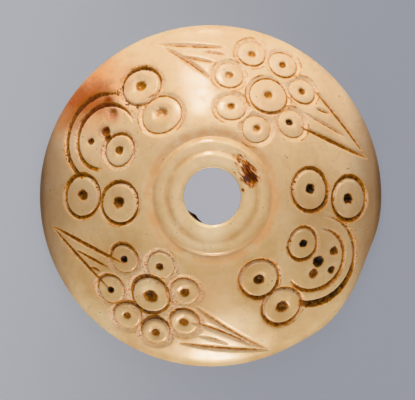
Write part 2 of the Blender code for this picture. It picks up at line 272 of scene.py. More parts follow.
# Each crescent is two arcs struck from one pivot. An arc's sweep is counted
# anticlockwise from the way that points outwards at the pivot.
CRESCENTS = (
    {"pivot": (328.5, 0.720),
     "arcs": ((INNER_ARC, CLEAN_CUT, (0.70, 0.76, 0.0), (-112.0, 114.0)),
              (OUTER_ARC, TORN_CUT, (0.50, 1.50, 0.0), (-77.0, 112.0))),
     "rings": (
         ((332.4, 0.611), EYE_RING, CLEAN_CUT, (0.45, 0.75, 0.0), (0.48, 0.98, 0.05, 0.05)),
         ((3.2, 0.584), PAIR_RING, CLEAN_CUT, (0.62, 0.86, 0.25), (0.56, 0.95, 0.0, 0.20)),
         ((358.7, 0.815), PAIR_RING, CLEAN_CUT, (0.85, 0.88, -0.28), (0.60, 0.90, -0.12, 0.05)),
         ((300.1, 0.565), PAIR_RING, CLEAN_CUT, (0.42, 0.88, 0.25), (0.62, 0.75, -0.02, -0.06)),
         ((302.8, 0.773), PAIR_RING, CLEAN_CUT, (0.48, 0.76, -0.32), (0.76, 0.61, 0.02, -0.12))),
     "dots": (((335.7, 0.795), (0.58, 0.58)), ((328.6, 0.742), (0.64, 0.90)),
              ((328.4, 0.830), (0.45, 0.78)), ((322.7, 0.758), (0.58, 0.58)))},
    {"pivot": (150.7, 0.702),
     "arcs": ((INNER_ARC, ROUGH_CUT, (0.95, 0.85, 0.0), (-125.0, 115.0)),
              (OUTER_ARC, TORN_CUT, (1.08, 1.00, 0.0), (-80.0, 88.0))),
     "rings": (
         ((153.7, 0.598), EYE_RING, ROUGH_CUT, (0.50, 0.22, 0.0), (0.52, 0.53, 0.0, 0.0)),
         ((122.6, 0.757), PAIR_RING, TORN_CUT, (0.72, 0.15, 0.0), (0.68, 0.36, -0.03, 0.08)),
         ((121.2, 0.555), PAIR_RING, LIGHT_CUT, (0.28, 0.28, 0.0), (0.74, 0.25, 0.01, 0.22)),
         ((180.4, 0.753), PAIR_RING, CLEAN_CUT, (0.78, 0.68, 0.0), (0.64, 0.62, 0.05, 0.16)),
         ((184.9, 0.536), PAIR_RING, CLEAN_CUT, (0.68, 0.70, -0.08), (0.68, 0.62, -0.10, 0.14))),
     "dots": (((139.7, 0.751), (0.55, 0.24)), ((155.5, 0.770), (0.40, 0.63)),
              ((148.6, 0.720), (0.58, 0.50)), ((150.7, 0.691), (0.45, 0.53)))},
)


# The blank's form

def crest_radius():
    return BORE_RADIUS + CREST_WIDTH


def crest_height():
    return WHORL_HEIGHT - CREST_DROP


def dome_curve():
    """Radius and height along the dome, from its crest to its widest line."""
    start = np.array((crest_radius(), crest_height()))
    pull = start + (SHOULDER_PULL, 0.0)
    end = np.array((WHORL_RADIUS, RIM_HEIGHT))
    push = end + (-RIM_PULL_IN, RIM_PULL_UP)
    share = np.linspace(0.0, 1.0, CURVE_SAMPLES)[:, None]
    rest = 1.0 - share
    curve = (rest ** 3 * start + 3 * rest ** 2 * share * pull
             + 3 * rest * share ** 2 * push + share ** 3 * end)
    return curve[:, 0], curve[:, 1]


DOME_RADII, DOME_HEIGHTS = dome_curve()


def bump(bearing, swell):
    turn = (bearing - swell["bearing"] + 180.0) % 360.0 - 180.0
    return swell["height"] * np.exp(-(turn / swell["spread"]) ** 2)


def rim_stretch(radius, bearing):
    reach = (radius / WHORL_RADIUS) ** RIM_REACH_POWER
    return 1.0 + (bump(bearing, RIM_FLAT) + bump(bearing, RIM_SWELL)) / WHORL_RADIUS * reach


def bore_pull(radius):
    """Share of the bore's shift at this radius: whole at the collar, none at the rim."""
    share = np.clip((radius - crest_radius()) / (WHORL_RADIUS - crest_radius()), 0.0, 1.0)
    return 1.0 - share * share * (3.0 - 2.0 * share)


def hand_worked(x, y):
    """Move points of the true turned form to where the real form has them."""
    radius = np.hypot(x, y)
    stretch = rim_stretch(radius, np.degrees(np.arctan2(y, x)))
    pull = bore_pull(radius)
    return x * stretch + BORE_SHIFT_X * pull, y * stretch + BORE_SHIFT_Y * pull


def turned_radius(x, y):
    """The radius on the true turned form of points of the real form."""
    radius = np.hypot(x, y)
    for _ in range(3):
        pull = bore_pull(radius)
        dx = x - BORE_SHIFT_X * pull
        dy = y - BORE_SHIFT_Y * pull
        radius = np.hypot(dx, dy) / rim_stretch(radius, np.degrees(np.arctan2(dy, dx)))
    return radius


def dome_height(x, y):
    return np.interp(turned_radius(x, y), DOME_RADII, DOME_HEIGHTS)


def dome_normals(x, y):
    probe = 0.02 * MM
    fall_x = (dome_height(x + probe, y) - dome_height(x - probe, y)) / (2 * probe)
    fall_y = (dome_height(x, y + probe) - dome_height(x, y - probe)) / (2 * probe)
    normals = np.stack((-fall_x, -fall_y, np.ones_like(fall_x)), axis=-1)
    return normals / np.linalg.norm(normals, axis=-1, keepdims=True)


def soften(corners):
    """Turn each corner into a short curve. A corner is a radius, a height and its wear."""
    points = []
    for i, (r, z, wear) in enumerate(corners):
        here = Vector((r, z))
        if wear == 0.0:
            points.append(here)
            continue
        back = Vector(corners[i - 1][:2]) - here
        ahead = Vector(corners[i + 1][:2]) - here
        start = here + back.normalized() * min(wear, back.length * CORNER_SHARE)
        end = here + ahead.normalized() * min(wear, ahead.length * CORNER_SHARE)
        for k in range(CORNER_STEPS + 1):
            share = k / CORNER_STEPS
            points.append(start.lerp(here, share).lerp(here.lerp(end, share), share))
    return points


def collar_outline():
    """The bore wall, the lip, the tier and the hollow, from below up and outwards."""
    corners = [(BORE_RADIUS, BORE_EDGE, 0.0),
               (BORE_RADIUS, BORE_LUMP["top"], 0.0),
               (BORE_RADIUS, BORE_LUMP["top"] + BORE_LUMP["thickness"], 0.0),
               (BORE_RADIUS, WHORL_HEIGHT - BORE_EDGE, SHARP_WEAR)]
    corners += [(BORE_RADIUS + out * MM, WHORL_HEIGHT - drop * MM, wear * MM)
                for out, drop, wear in COLLAR]
    corners += [(crest_radius(), crest_height(), SOFT_WEAR),
                (DOME_RADII[CREST_SAMPLE], DOME_HEIGHTS[CREST_SAMPLE], 0.0)]
    return soften(corners)[:-1]


def dome_outline():
    """Points an even way apart down the dome, without its crest."""
    steps = np.hypot(np.diff(DOME_RADII), np.diff(DOME_HEIGHTS))
    along = np.concatenate(((0.0,), np.cumsum(steps)))
    count = round(along[-1] / DOME_SPACING)
    stops = np.linspace(0.0, along[-1], count + 1)[1:]
    return [Vector(p) for p in zip(np.interp(stops, along, DOME_RADII),
                                   np.interp(stops, along, DOME_HEIGHTS))]


def foot_outline():
    """The rim below its widest line, and the underside in to the bore."""
    low = RIM_HEIGHT - RIM_BAND
    points = []
    for k in range(CORNER_STEPS + 1):
        turn = math.radians(90.0 * k / CORNER_STEPS)
        points.append(Vector((WHORL_RADIUS - FOOT_ROUND * (1.0 - math.cos(turn)),
                              low * (1.0 - math.sin(turn)))))
    points.append(Vector((BORE_RADIUS + BORE_EDGE, 0.0)))
    points.append(Vector((BORE_RADIUS, BORE_EDGE)))
    return points


def fill_long_runs(points):
    """Add points where two neighbours stand further apart than plain faces need."""
    filled = [points[0]]
    for before, after in zip(points, points[1:]):
        count = max(1, math.ceil((after - before).length / PLAIN_SPACING))
        filled += [before.lerp(after, k / count) for k in range(1, count + 1)]
    return filled


# The carved marks. Each tells how far points lie from its middle line, how deep
# it cuts there, and how much dark matter it holds.

def plan_point(place, start=(0.0, 0.0)):
    turn = math.radians(place[0])
    reach = place[1] * WHORL_RADIUS
    return start[0] + reach * math.cos(turn), start[1] + reach * math.sin(turn)


def seat(x, y):
    """A point of the dome with its normal, its way outwards and its way across."""
    spot = np.array((x, y, float(dome_height(x, y))))
    normal = dome_normals(np.array(x), np.array(y))
    outward = np.array((x, y, 0.0))
    outward -= normal * outward.dot(normal)
    outward /= np.linalg.norm(outward)
    return spot, normal, outward, np.cross(normal, outward)


def worn_wall(share):
    """Share of the full depth at a share of the wall's width: a V with worn floor and lips."""
    floor = np.sqrt(share ** 2 + FLOOR_WEAR ** 2) - FLOOR_WEAR
    wall = 1.0 - floor
    return (wall + np.sqrt(wall ** 2 + LIP_WEAR ** 2)) / 2


def chatter(points, size):
    """Uneven bites of the tool, from minus one to one."""
    return np.array([noise.noise(Vector(p) / size) for p in points])


def tool_bites(points, tool):
    """A cut's depth as a share of its tool's depth, uneven where the tool tore."""
    return 1.0 + chatter(points, CHATTER_SIZE) * CHATTER_SHARE * tool["rough"]


def lying(points, inside, darkening):
    """How thick the dark band of earth and painted shade lies: whole where it starts on the wall,
    thinner outwards.
    """
    width = (DARK_LEAST + DARK_REACH * darkening) * (1.0 + DARK_FRAY * chatter(points, FRAY_SIZE))
    edge = np.clip(np.minimum(inside, width - inside) / DARK_EDGE + 0.5, 0.0, 1.0)
    return edge * (1.0 - DARK_THIN * np.clip(inside / width, 0.0, 1.0))


def crumbs(points):
    """Crumbs of black dirt in a torn cut, thick in some places and missing in others."""
    drift = np.clip(chatter(points, CRUMB_DRIFT) * DRIFT_GAIN + DRIFT_START, 0.0, 1.0)
    return np.clip(chatter(points, CRUMB_SIZE) * CRUMB_GAIN + CRUMB_START, 0.0, 1.0) * drift


def tone(darkening):
    """How dark the band of earth and painted shade is for this much darkening."""
    return np.where(darkening > 0.0, TONE_LEAST + TONE_RISE * darkening, 0.0)


class Ring:
    """A ring, or an arc of one, struck on the dome's tangent plane."""

    def __init__(self, spot, radius, tool, dirt_and_shade, sweep=None):
        self.spot, self.normal, self.outward, self.across = seat(*spot)
        self.radius = radius
        self.tool = tool
        self.dirt_and_shade = dirt_and_shade
        self.sweep = sweep
        self.phase = (spot[0] * PHASE_MIX[0] + spot[1] * PHASE_MIX[1]) / MM
        self.reach = radius + tool["outer"]

    def polar(self, points):
        """Distance past the groove's floor, turn round the ring, and height over its plane."""
        offset = points - self.spot
        u = offset @ self.outward
        v = offset @ self.across
        turn = np.arctan2(v, u)
        wobble = np.sin(2 * turn + self.phase) + THIRD_LOBE * np.sin(3 * turn + self.phase * 2)
        past = np.hypot(u, v) - self.radius - wobble * RING_WOBBLE
        return past, np.degrees(turn), offset @ self.normal

    def fade(self, turn):
        """One along the arc, falling to nothing at its ends."""
        if self.sweep is None:
            return np.ones_like(turn)
        start, end = self.sweep
        share = (turn - start) / (end - start)
        edge = np.minimum(share, 1.0 - share) / ARC_FADE
        return np.clip(edge, 0.0, 1.0) ** 0.5

    def share_held(self, turn, level):
        """The dark band lies along the whole of a ring, and thins out towards an arc's upper end.
        """
        if self.sweep is None:
            return np.ones_like(turn)
        start, end = self.sweep
        share = (turn - start) / (end - start)
        clean = 1.0 - np.clip(np.minimum(share, 1.0 - share) / CLEAN_END, 0.0, 1.0)
        return 1.0 - clean * np.clip(CLEAN_GAIN * level + 0.5, 0.0, 1.0)

    def gap(self, points):
        past, turn, _ = self.polar(points)
        gap = np.maximum(past - self.tool["outer"], -past - self.tool["inner"])
        return np.where(self.fade(turn) > 0.0, gap, self.reach)

    def darkness(self, points, past, turn, away, share):
        """How dark the cut is: the band of earth and painted shade in it, the line on its lip and
        its crumbs.
        """
        far, near_side, lean = self.dirt_and_shade
        level = away[:, 1]
        fade = self.fade(turn)
        dirt_and_shade = near_side + (far - near_side) * np.clip(level / LEVEL_BLEND + 0.5, 0.0, 1.0)
        least = self.tool["side"] if self.sweep is None else ARC_SIDE_HELD
        # Painted shade: the band is darkest on the far and near arcs, where the groove runs across
        # the light, and fainter at the sides
        darkening = dirt_and_shade * (least + (1.0 - least) * np.abs(level) ** SIDE_FALL)
        darkening *= self.share_held(turn, level) * (1.0 + lean * away[:, 0])
        # On the far side the band slides onto the outer wall, which faces away from the light:
        # painted shade
        inside = past - self.tool["inner"] * (BAND_START + BAND_SLIDE * level)
        dark = lying(points, inside, darkening) * tone(darkening) * fade
        lip = np.clip(1.0 - np.abs(past - self.tool["outer"]) / (2.0 * DARK_EDGE), 0.0, 1.0)
        lip *= np.clip(chatter(points, LIP_DRIFT) * LIP_GAIN + LIP_START, 0.0, 1.0) * fade
        dark = np.maximum(dark, lip * LIP_TONE * (LIP_CLEAN - LIP_ROUGH * self.tool["rough"]))
        in_cut = np.clip(share * CRUMB_WALL, 0.0, 1.0)
        return np.maximum(dark, crumbs(points) * in_cut * self.tool["crumbs"])

    def cut(self, points):
        past, turn, height = self.polar(points)
        away = points[:, :2] - self.spot[:2]
        away /= np.linalg.norm(away, axis=1, keepdims=True) + TINY
        level = away[:, 1]
        wall = np.where(past > 0.0, past / self.tool["outer"], -past / self.tool["inner"])
        share = worn_wall(wall) * self.fade(turn)
        bites = tool_bites(points, self.tool)
        bites *= 1.0 - self.tool["worn"] * np.clip(-level, 0.0, 1.0)
        depth = share * (self.tool["depth"] + np.minimum(height, 0.0) * FLAT_SHARE) * bites
        reach = np.clip(1.0 + past / self.radius, 0.0, 1.0)
        depth = np.where(past < 0.0, np.maximum(depth, self.tool["pillow"] * reach ** 2), depth)
        smooth = np.where(level > 0.0, FAR_SMOOTH, NEAR_SMOOTH) * np.abs(level)
        torn = self.tool["rough"] * (1.0 - smooth)
        fresh = np.clip(share * RING_TORN, 0.0, 1.0) * torn
        return depth, self.darkness(points, past, turn, away, share), fresh


class Stroke:
    """A tapered cut along a bowed line over the dome."""

    def __init__(self, start, end, bow, tool, dirt_and_shade):
        x0, y0 = plan_point(start)
        x1, y1 = plan_point(end)
        share = np.linspace(0.0, 1.0, STROKE_STEPS + 1)
        self.arch = 4.0 * share * (1.0 - share)
        lift = bow * WHORL_RADIUS * self.arch / math.hypot(x1 - x0, y1 - y0)
        x = x0 + (x1 - x0) * share - (y1 - y0) * lift
        y = y0 + (y1 - y0) * share + (x1 - x0) * lift
        self.route = np.stack((x, y, dome_height(x, y)), axis=-1)
        self.spot = self.route[STROKE_STEPS // 2]
        self.tool = tool
        self.dirt_and_shade = dirt_and_shade
        self.reach = math.hypot(x1 - x0, y1 - y0) * STROKE_REACH

    def nearest(self, points):
        """Distance to the route, and the swell of the cut there."""
        best = np.full(len(points), self.reach * 2)
        swell = np.zeros(len(points))
        for i in range(STROKE_STEPS):
            start = self.route[i]
            along = self.route[i + 1] - start
            share = np.clip(((points - start) @ along) / along.dot(along), 0.0, 1.0)
            away = np.linalg.norm(points - start - share[:, None] * along, axis=1)
            closer = away < best
            best = np.where(closer, away, best)
            arch = self.arch[i] + (self.arch[i + 1] - self.arch[i]) * share
            swell = np.where(closer, arch, swell)
        return best, TIP_SHARE + (1.0 - TIP_SHARE) * np.sqrt(swell)

    def gap(self, points):
        return self.nearest(points)[0] - self.tool["width"] / 2

    def cut(self, points):
        distance, swell = self.nearest(points)
        half = self.tool["width"] / 2 * np.maximum(swell, TIP_WIDTH)
        share = worn_wall(distance / half) * swell
        darkening = self.dirt_and_shade * swell
        lies = lying(points, distance + DARK_LEAST, darkening * STROKE_SPREAD)
        dark = lies * tone(darkening) * swell ** 0.5
        fresh = np.clip(share * STROKE_TORN, 0.0, 1.0) * self.tool["rough"]
        return share * self.tool["depth"] * tool_bites(points, self.tool), dark, fresh


class Dot:
    """A drilled dot in a shallow worn dish."""

    def __init__(self, spot, size, darkness):
        self.spot, self.normal, _, _ = seat(*spot)
        self.radius = size * DOT_SPREAD * MM
        self.darkness = darkness
        self.reach = self.radius * DISH_REACH

    def distance(self, points):
        offset = points - self.spot
        return np.linalg.norm(offset - np.outer(offset @ self.normal, self.normal), axis=1)

    def gap(self, points):
        return self.distance(points) - self.radius

    def cut(self, points):
        ragged = sum(part * chatter(points, size) for part, size in DOT_RAGGED)
        share = self.distance(points) / self.radius * (1.0 + ragged)
        hole = np.clip(1.0 - share ** HOLE_CURVE, 0.0, 1.0) * self.radius * DOT_DEPTH_SHARE
        dish = np.clip(1.0 - (share / DISH_REACH) ** 2, 0.0, 1.0) ** 2
        # Painted shade and light: the dot's far wall darker and its near wall paler, as the light
        # falls from the far side
        lit = (points[:, 1] - self.spot[1]) / self.radius
        painted_shade_slant = 1.0 + DOT_PAINTED_SHADE_SLANT * (1.0 - self.darkness) * lit
        shade = self.darkness ** DOT_TONE_CURVE * painted_shade_slant
        dark = np.clip((DOT_DARK_END - share) / DOT_DARK_EDGE, 0.0, 1.0) * np.clip(shade, 0.0, 1.0)
        fresh = np.clip((1.0 - share) / DOT_TORN_EDGE, 0.0, 1.0) * DOT_TORN
        return hole + dish * self.radius * DISH_DEPTH_SHARE, dark, fresh


def ring_and_dot(spot, radius, tool, dirt_and_shade, dot):
    size, darkness, right, up = dot
    dot_spot = (spot[0] + right * MM, spot[1] + up * MM)
    return [Ring(spot, radius, tool, dirt_and_shade), Dot(dot_spot, size, darkness)]


def all_marks():
    marks = [Stroke(*stroke) for stroke in STROKES]
    for flower in FLOWERS:
        place, *facts = flower["middle"]
        middle = plan_point(place)
        marks += ring_and_dot(middle, *facts)
        for place, *facts in flower["petals"]:
            marks += ring_and_dot(plan_point(place, middle), *facts)
    for crescent in CRESCENTS:
        pivot = plan_point(crescent["pivot"])
        marks += [Ring(pivot, *arc) for arc in crescent["arcs"]]
        for place, *facts in crescent["rings"]:
            marks += ring_and_dot(plan_point(place), *facts)
        marks += [Dot(plan_point(place), *dot) for place, dot in crescent["dots"]]
    return marks


def near(mark, points, margin=1.0 * MM):
    return np.nonzero(np.linalg.norm(points - mark.spot, axis=1) < mark.reach + margin)[0]


# Making the whorl

def mesh_points(piece):
    flat = np.empty(len(piece.data.vertices) * 3)
    piece.data.vertices.foreach_get("co", flat)
    return flat.reshape(-1, 3)


def move_points(piece, points):
    piece.data.vertices.foreach_set("co", points.ravel())
    piece.data.update()


def turn_blank():
    """Draw the outline as a chain of points and turn it round the bore."""
    outline = fill_long_runs(collar_outline() + dome_outline() + foot_outline())
    bpy.ops.object.select_all(action="DESELECT")
    bpy.ops.mesh.primitive_plane_add(size=MM, location=(outline[0].x, 0.0, outline[0].y))
    blank = bpy.context.object
    blank.name = "carved_whorl"
    bpy.ops.object.mode_set(mode="EDIT")
    bpy.ops.mesh.select_all(action="SELECT")
    bpy.ops.mesh.merge(type="CENTER")
    for before, after in zip(outline, outline[1:]):
        step = after - before
        bpy.ops.mesh.extrude_vertices_move(TRANSFORM_OT_translate={"value": (step.x, 0.0, step.y)})
    bpy.ops.mesh.select_all(action="SELECT")
    bpy.ops.mesh.spin(steps=TURN_STEPS, angle=math.tau, center=(0.0, 0.0, 0.0),
                      axis=(0.0, 0.0, 1.0))
    bpy.ops.mesh.select_all(action="SELECT")
    bpy.ops.mesh.remove_doubles(threshold=WELD_GAP)
    bpy.ops.mesh.normals_make_consistent(inside=False)
    bpy.ops.mesh.select_mode(type="FACE")
    bpy.ops.object.mode_set(mode="OBJECT")
    bpy.ops.object.transform_apply(location=True, rotation=True, scale=True)
    return blank


def work_by_hand(piece):
    points = mesh_points(piece)
    points[:, 0], points[:, 1] = hand_worked(points[:, 0], points[:, 1])
    move_points(piece, points)


def dome_mask(points):
    radius = turned_radius(points[:, 0], points[:, 1])
    return (radius > crest_radius() + SOFT_WEAR) & (points[:, 2] > RIM_HEIGHT)


def seat_on_dome(piece):
    points = mesh_points(piece)
    dome = dome_mask(points)
    points[dome, 2] = dome_height(points[dome, 0], points[dome, 1])
    move_points(piece, points)


def refine(piece, marks, reach):
    """Halve the faces that lie within reach of a mark."""
    flat = np.empty(len(piece.data.polygons) * 3)
    piece.data.polygons.foreach_get("center", flat)
    centres = flat.reshape(-1, 3)
    chosen = np.zeros(len(centres), dtype=bool)
    for mark in marks:
        close = near(mark, centres, reach + REFINE_MARGIN)
        chosen[close] |= mark.gap(centres[close]) < reach
    chosen &= centres[:, 2] > RIM_HEIGHT
    bpy.ops.object.mode_set(mode="EDIT")
    bpy.ops.mesh.select_all(action="DESELECT")
    bpy.ops.object.mode_set(mode="OBJECT")
    piece.data.polygons.foreach_set("select", chosen)
    bpy.ops.object.mode_set(mode="EDIT")
    bpy.ops.mesh.subdivide(number_cuts=1, ngon=False)
    bpy.ops.object.mode_set(mode="OBJECT")
    seat_on_dome(piece)


def build_bore_lump(points, earth_and_shade):
    """Build up a dark lump low on the bore's wall."""
    x = points[:, 0] - BORE_SHIFT_X
    y = points[:, 1] - BORE_SHIFT_Y
    radius = np.hypot(x, y)
    turn = np.degrees(np.arctan2(y, x)) % 360.0
    share = (turn - BORE_LUMP["start"]) / (BORE_LUMP["end"] - BORE_LUMP["start"])
    swell = np.sin(np.clip(share, 0.0, 1.0) * math.pi) ** BORE_LUMP["swell"]
    on_wall = (radius < BORE_RADIUS + WALL_SLACK) & (points[:, 2] < BORE_LUMP["top"] + TOP_SLACK)
    darkening = swell * on_wall
    uneven = 1.0 + BORE_LUMP["uneven"] * chatter(points * (1.0, 1.0, 0.0), BORE_LUMP["lumps"])
    inward = darkening * BORE_LUMP["thickness"] * uneven / radius
    points[:, 0] -= x * inward
    points[:, 1] -= y * inward
    earth_and_shade[:] = np.maximum(earth_and_shade, np.clip(darkening * BORE_LUMP["gain"], 0.0, BORE_LUMP["dark"]))


def carve(piece, marks):
    """Sink the marks into the dome, and note where each point is dark or freshly cut."""
    points = mesh_points(piece)
    deep = np.zeros(len(points))
    earth_and_shade = np.zeros(len(points))
    fresh = np.zeros(len(points))
    top = points[:, 2] > RIM_HEIGHT
    for mark in marks:
        close = near(mark, points)
        close = close[top[close]]
        depth, dark, torn = mark.cut(points[close])
        deep[close] = np.maximum(deep[close], depth)
        earth_and_shade[close] = np.maximum(earth_and_shade[close], dark)
        fresh[close] = np.maximum(fresh[close], torn)
    dome = dome_mask(points)
    wave = (1.0 + chatter(points[dome], HAND_WAVE_SIZE)) * HAND_WAVE
    from_rim = (WHORL_RADIUS - turned_radius(*points[dome, :2].T)) / MM
    deep[dome] += wave * np.clip(from_rim, 0.0, 1.0)
    normals = dome_normals(points[:, 0], points[:, 1])
    points -= normals * deep[:, None]
    build_bore_lump(points, earth_and_shade)
    move_points(piece, points)
    for name, values in (("earth_and_shade", earth_and_shade), ("fresh_cut", fresh)):
        layer = piece.data.attributes.new(name, "FLOAT", "POINT")
        layer.data.foreach_set("value", values)


# Materials

def linear(code):
    """An sRGB hex colour as linear red, green, blue and alpha."""
    parts = [int(code[i:i + 2], 16) / 255 for i in (1, 3, 5)]
    return [c / 12.92 if c <= 0.04045 else ((c + 0.055) / 1.055) ** 2.4 for c in parts] + [1.0]


def feed(tree, socket, value):
    """Give a socket a number, a hex colour, an output, or a node's first output in use."""
    if isinstance(value, str):
        value = linear(value)
    if isinstance(value, bpy.types.Node):
        value = next(output for output in value.outputs if output.enabled)
    if isinstance(value, bpy.types.NodeSocket):
        tree.links.new(value, socket)
    else:
        socket.default_value = value


def node(tree, kind, sockets=None, stops=(), **settings):
    """Add a node with its settings and links, and a ramp's stops: positions and colours."""
    made = tree.nodes.new("ShaderNode" + kind)
    for name, value in settings.items():
        setattr(made, name, value)
    for name, value in (sockets or {}).items():
        feed(tree, made.inputs[name], value)
    if stops:
        elements = made.color_ramp.elements
        while len(elements) < len(stops):
            elements.new(0.5)
        for element, (position, code) in zip(elements, stops):
            element.position = position
            element.color = linear(code)
    return made


def new_material(name):
    made = bpy.data.materials.new(name)
    made.use_nodes = True
    return made, made.node_tree, made.node_tree.nodes["Principled BSDF"]


def paint(tree, under, colour, cover, weight=1.0, kind="MIX"):
    """Lay a colour over what is under it, or multiply it in, as far as cover and weight say."""
    share = node(tree, "Math", {0: cover, 1: weight}, operation="MULTIPLY")
    return node(tree, "Mix", {"Factor": share, "A": under, "B": colour},
                data_type="RGBA", blend_type=kind)


def paint_where(tree, under, colour, value, low, high, most, within=1.0, kind="MIX"):
    """Paint nothing where a value is below low, rising to most where it is at high."""
    cover = node(tree, "MapRange", {"Value": value, "From Min": low, "From Max": high,
                                    "To Max": most}, interpolation_type="SMOOTHSTEP")
    return paint(tree, under, colour, cover, within, kind)


def spot_at(tree, place, x, y, inner, outer, ragged=0.0):
    """One within inner mm of a point of the plan, falling to nothing at outer mm."""
    flat = node(tree, "VectorMath", {0: place, 1: (1.0, 1.0, 0.0)}, operation="MULTIPLY")
    away = node(tree, "VectorMath", {0: flat, 1: (x * MM, y * MM, 0.0)}, operation="DISTANCE")
    if ragged:
        torn = node(tree, "TexNoise", {"Vector": place, "Scale": SPOT_TEARS / (outer * MM),
                                       "Detail": 6.0, "Roughness": 0.7})
        lift = node(tree, "Math", {0: torn, 1: 0.5}, operation="SUBTRACT")
        away = node(tree, "Math", {0: lift, 1: ragged * MM, 2: away}, operation="MULTIPLY_ADD")
    return node(tree, "MapRange", {"Value": away, "From Min": inner * MM, "From Max": outer * MM,
                                   "To Min": 1.0, "To Max": 0.0}, interpolation_type="SMOOTHSTEP")


# How many tears of noise a ragged spot has over its reach
SPOT_TEARS = 2.2

# The ivory's noises: the size of their blots and how finely they are broken up. The
# grit of torn walls is finer than this in the real one, too fine to show.
IVORY_NOISES = {
    "cloud": (5.0 * MM, 3.0),
    "mottle": (1.2 * MM, 5.0),
    "grit": (0.20 * MM, 3.0),
    "blotches": (1.6 * MM, 7.0),
    "pore_fields": (2.5 * MM, 2.0),
    "lumps": (0.45 * MM, 4.0),
}

# How far the ivory's pores lie apart. Real ones are too fine to show, so these are coarse.
PORE_SPACING = 0.8 * MM

# The middle of the bore in the plan, in mm
BORE_MIDDLE = (BORE_SHIFT_X / MM, BORE_SHIFT_Y / MM)

# Painted shade on the ivory's two sides, which face away from the lights: from where to
# where, in mm from the middle, then the weight and the colour that multiplies the ivory's
SIDE_PAINTED_SHADE = (
    (15.0, 20.3, 0.86, "#9c7c54"),
    (19.0, 20.0, 0.40, "#5c5044"),
)

# Bands of colour round the collar: where each starts and ends, from and to, in mm from
# the bore's middle, then its weight and its colour
COLLAR_BANDS = (
    ((0.0, 0.1), (3.7, 4.9), 0.22, "#fbe4b8"),
    ((4.90, 5.20), (5.35, 5.80), 0.56, "#dca468"),
    ((6.40, 6.70), (6.80, 7.10), 0.50, "#dca468"),
    ((6.85, 7.05), (7.50, 8.20), 0.70, "#e8ac6c"),
)

# The iron stain by the bore: where each spot of it lies and how far it reaches, in mm,
# then its weight. Its streaks run along a bearing and are drawn out by a stretch.
STAIN = (
    (4.80, 2.30, 1.2, 0.42),
    (5.25, 1.80, 0.9, 0.36),
    (4.20, 1.80, 0.8, 0.26),
    (4.25, 3.35, 0.8, 0.34),
    (4.75, 1.30, 0.8, 0.28),
    (4.05, 2.80, 2.1, 0.36),
    (3.30, 4.40, 1.3, 0.28),
    (3.74, 0.62, 0.4, 0.34),
)
STAIN_CORE = 0.1
STREAK_TURN = 132.0
STREAK_SIZE = 0.22 * MM
STREAK_STRETCH = 3.5

# Patches of colour on the upper face, iron-red at the upper left, with pale patches of
# painted light by the bore and low on the dome, and brown patches of painted shade at the
# two sides: where each lies, how far it is whole, how far it reaches and how ragged it
# is, in mm, then its weight and its colour
PATCHES = (
    # Painted light on the collar's far and near sides
    (0.5, 4.4, 0.4, 3.4, 1.5, 0.40, "#fbe6c4"),
    (0.0, -4.2, 0.4, 2.8, 1.5, 0.55, "#fdeaca"),
    (-10.6, -7.0, 0.5, 4.5, 2.0, 0.50, "#c89860"),
    (0.5, -11.0, 1.0, 6.0, 3.0, 0.30, "#dca668"),
    # Painted shade on the two sides
    (-15.4, -1.0, 0.5, 6.0, 1.5, 0.34, "#b88e5e"),
    (14.6, -4.5, 2.0, 9.0, 1.5, 0.34, "#b88e5e"),
    # Painted light low on the near side of the dome
    (1.7, -16.0, 0.5, 4.0, 1.5, 0.45, "#fbe2c0"),
    (-15.8, 13.4, 2.0, 8.0, 5.0, 0.66, "#f09850"),
    (-16.7, 9.4, 0.3, 2.8, 2.5, 0.60, "#bc6418"),
    (-15.6, 11.4, 0.5, 2.8, 3.0, 0.80, "#b85408"),
    (-13.4, 11.6, 0.2, 3.0, 3.5, 0.75, "#b85408"),
    (-11.9, 11.1, 0.1, 0.9, 0.8, 0.90, "#983804"),
    (-11.4, 9.4, 0.2, 1.2, 0.8, 0.70, "#bc5c18"),
    (-12.4, 7.5, 0.1, 1.0, 0.8, 0.50, "#a04010"),
)

# Where the dirt is rusted too: the middle of the spot, how far it is whole, how far it
# reaches and how ragged it is, in mm
RUSTED_DIRT = (-13.6, 9.8, 0.5, 4.8, 2.0)

# Roughness where the ivory is most and least polished, what handling takes off it at the
# collar, how far the collar's handled part reaches, in mm from the bore's middle, what
# the dark bands of dirt and painted shade and the torn walls add, and the heights of the fine
# relief
GLOSS = (0.17, 0.29)
HANDLED = -0.07
HANDLED_REACH = (7.0, 8.2)
DULLED = 0.30
SKIN_RELIEF = 0.02 * MM
TORN_RELIEF = 0.17 * MM


def clouded_ivory(tree, place, apart, grain):
    """The ivory under its stains: clouded and pored, with painted light paler away from us and
    painted shade at its sides.
    """
    body = node(tree, "ValToRGB", {"Fac": grain["cloud"]},
                ((0.30, "#dab07b"), (0.50, "#e6c493"), (0.70, "#ecd0a7")))
    # Painted light: paler towards the far side, where the lights' sheen falls
    body = paint_where(tree, body, "#f4d6ba", apart["Y"], -12.0 * MM, 16.0 * MM, 0.45)
    body = paint_where(tree, body, "#cf9f68", grain["mottle"], 0.50, 0.72, 0.35)
    cells = node(tree, "TexVoronoi", {"Vector": place, "Scale": 1.0 / PORE_SPACING})
    pores = node(tree, "MapRange", {"Value": cells, "From Min": 0.06, "From Max": 0.14,
                                    "To Min": 1.0, "To Max": 0.0})
    body = paint_where(tree, body, "#8a5a2c", grain["pore_fields"], 0.50, 0.62, 0.75, pores)
    side = node(tree, "Math", {0: apart["X"]}, operation="ABSOLUTE")
    # Painted shade on the two sides
    for start, end, weight, code in SIDE_PAINTED_SHADE:
        body = paint_where(tree, body, code, side, start * MM, end * MM, weight, kind="MULTIPLY")
    return body


